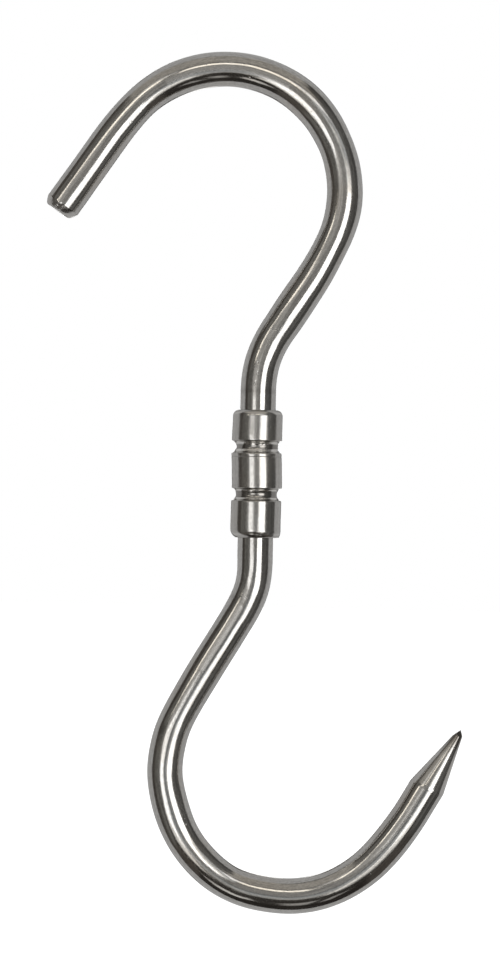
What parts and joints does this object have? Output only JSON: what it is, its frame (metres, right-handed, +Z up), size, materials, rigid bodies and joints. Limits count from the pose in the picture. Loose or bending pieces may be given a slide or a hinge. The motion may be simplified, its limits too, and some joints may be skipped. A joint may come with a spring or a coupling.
{
  "type": "swivel s hook",
  "caption": "Swivel S-hook for hanging meat: a blunt upper hook and a pointed lower hook bent from round bar, joined by a rolled sleeve in which both turn.",
  "frame": {"origin": "the rail seat: the highest point on the inside of the upper bowl, in the middle of the bar's width", "axes": "+Z up along the sleeve's axis, about which both hooks turn; +X towards the side of the lower hook's point; +Y away from the viewer, square to the plane that both hooks lie in at rest"},
  "size_m": [0.1201, 0.0142, 0.2427],
  "materials": {
    "bar_steel": "polished stainless steel, with fine drawing lines along the bar",
    "sleeve_steel": "polished stainless steel, with fine turning lines round the sleeve and rougher rolled grooves"
  },
  "bodies": {
    "upper_hook": {"upper_hook": "bar_steel"},
    "sleeve": {"sleeve": "sleeve_steel"},
    "lower_hook": {"lower_hook": "bar_steel"}
  },
  "joints": [
    {"name": "sleeve_turn", "type": "hinge", "parent": "upper_hook", "child": "sleeve", "pos_m": [0.01083, 0, -0.10898], "axis": [0, 0, 1], "continuous": true},
    {"name": "hook_turn", "type": "hinge", "parent": "sleeve", "child": "lower_hook", "pos_m": [0.01083, 0, -0.10898], "axis": [0, 0, 1], "continuous": true}
  ]
}
